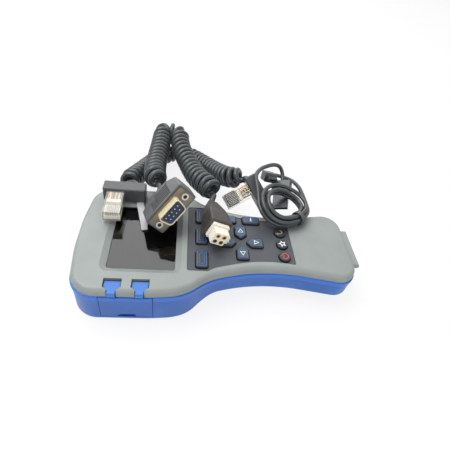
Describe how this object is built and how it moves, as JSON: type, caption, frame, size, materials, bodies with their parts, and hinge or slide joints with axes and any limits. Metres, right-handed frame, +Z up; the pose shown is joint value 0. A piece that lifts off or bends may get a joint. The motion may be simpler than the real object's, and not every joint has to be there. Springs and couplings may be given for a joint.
{
  "type": "handheld programmer",
  "caption": "Handheld programmer: broad head with recessed screen and hinged port door, waisted grip with keypad, socket under an end tab, curly plug leads and a wound USB lead.",
  "frame": {"origin": "under the middle of the handset's box, on the surface that it lies on with the screen up", "axes": "+X from the screen end to the tab end of the handle, +Y across the handset away from the port door, +Z up out of the screen"},
  "size_m": [0.192, 0.1961, 0.064],
  "materials": {
    "grey_shell": "fine matte",
    "blue_shell": "satin",
    "seal_rubber": "plain",
    "window_glass": "polished",
    "display_glass": "black",
    "panel_plastic": "matte",
    "key_plastic": "matte",
    "board_laminate": "coated",
    "switch_metal": "plated",
    "screw_steel": "zinc",
    "socket_plastic": "moulded",
    "cell_metal": "plain sleeve",
    "lead_plastic": "moulded",
    "clear_plastic": "clear",
    "plate_metal": "plated, dull",
    "insulator_plastic": "moulded",
    "nut_metal": "nickel",
    "white_plastic": "natural",
    "cord_rubber": "satin jacket"
  },
  "bodies": {
    "handset": {"back_shell": "blue_shell", "battery_cells": "cell_metal", "battery_contacts": "switch_metal", "battery_cover": "blue_shell", "board_screws": "screw_steel", "card_slot": "switch_metal", "case_screws": "screw_steel", "cover_screws": "screw_steel", "display_module": "display_glass", "dome_switches": "switch_metal", "door_tethers": "blue_shell", "front_shell": "grey_shell", "io_board": "board_laminate", "keypad_panel": "panel_plastic", "lead_a_block": "lead_plastic", "lead_a_coil": "cord_rubber", "lead_a_hood": "lead_plastic", "lead_a_insulator": "insulator_plastic", "lead_a_neck": "cord_rubber", "lead_a_nuts": "nut_metal", "lead_a_plate": "plate_metal", "lead_a_plug": "clear_plastic", "lead_a_tail": "cord_rubber", "lead_b_block": "lead_plastic", "lead_b_boot": "lead_plastic", "lead_b_coil": "cord_rubber", "lead_b_housing": "white_plastic", "lead_b_neck": "cord_rubber", "lead_b_plug": "clear_plastic", "lead_b_tail": "cord_rubber", "main_board": "board_laminate", "modular_jack": "socket_plastic", "perimeter_seal": "seal_rubber", "screen_window": "window_glass", "usb_a_mould": "lead_plastic", "usb_a_shell": "nut_metal", "usb_a_tail": "cord_rubber", "usb_lead_hank": "cord_rubber", "usb_lead_tie": "lead_plastic", "usb_mini_mould": "lead_plastic", "usb_mini_shell": "nut_metal", "usb_mini_tail": "cord_rubber", "usb_socket": "switch_metal"},
    "softkey_left": {"softkey_left": "key_plastic"},
    "softkey_middle": {"softkey_middle": "key_plastic"},
    "softkey_right": {"softkey_right": "key_plastic"},
    "arrow_down": {"arrow_down": "key_plastic"},
    "arrow_right": {"arrow_right": "key_plastic"},
    "arrow_up": {"arrow_up": "key_plastic"},
    "arrow_left": {"arrow_left": "key_plastic"},
    "plus_key": {"plus_key": "key_plastic"},
    "minus_key": {"minus_key": "key_plastic"},
    "power_key": {"power_key": "key_plastic"},
    "star_key": {"star_key": "key_plastic"},
    "return_key": {"return_key": "key_plastic"},
    "port_door": {"port_door": "blue_shell"}
  },
  "joints": [
    {"name": "softkey_left_press", "type": "slide", "parent": "handset", "child": "softkey_left", "axis": [0, 0, -1], "range_m": [0, 0.0008], "stiffness_N_per_m": 900},
    {"name": "softkey_middle_press", "type": "slide", "parent": "handset", "child": "softkey_middle", "axis": [0, 0, -1], "range_m": [0, 0.0008], "stiffness_N_per_m": 900},
    {"name": "softkey_right_press", "type": "slide", "parent": "handset", "child": "softkey_right", "axis": [0, 0, -1], "range_m": [0, 0.0008], "stiffness_N_per_m": 900},
    {"name": "arrow_down_press", "type": "slide", "parent": "handset", "child": "arrow_down", "axis": [0, 0, -1], "range_m": [0, 0.0008], "stiffness_N_per_m": 900},
    {"name": "arrow_right_press", "type": "slide", "parent": "handset", "child": "arrow_right", "axis": [0, 0, -1], "range_m": [0, 0.0008], "stiffness_N_per_m": 900},
    {"name": "arrow_up_press", "type": "slide", "parent": "handset", "child": "arrow_up", "axis": [0, 0, -1], "range_m": [0, 0.0008], "stiffness_N_per_m": 900},
    {"name": "arrow_left_press", "type": "slide", "parent": "handset", "child": "arrow_left", "axis": [0, 0, -1], "range_m": [0, 0.0008], "stiffness_N_per_m": 900},
    {"name": "plus_key_press", "type": "slide", "parent": "handset", "child": "plus_key", "axis": [0, 0, -1], "range_m": [0, 0.0008], "stiffness_N_per_m": 900},
    {"name": "minus_key_press", "type": "slide", "parent": "handset", "child": "minus_key", "axis": [0, 0, -1], "range_m": [0, 0.0008], "stiffness_N_per_m": 900},
    {"name": "power_key_press", "type": "slide", "parent": "handset", "child": "power_key", "axis": [0, 0, -1], "range_m": [0, 0.0008], "stiffness_N_per_m": 900},
    {"name": "star_key_press", "type": "slide", "parent": "handset", "child": "star_key", "axis": [0, 0, -1], "range_m": [0, 0.0008], "stiffness_N_per_m": 900},
    {"name": "return_key_press", "type": "slide", "parent": "handset", "child": "return_key", "axis": [0, 0, -1], "range_m": [0, 0.0008], "stiffness_N_per_m": 900},
    {"name": "port_door_swing", "type": "hinge", "parent": "handset", "child": "port_door", "pos_m": [-0.05915, -0.0462, 0.0261], "axis": [-1, 0, 0], "range_deg": [0, 100]}
  ]
}
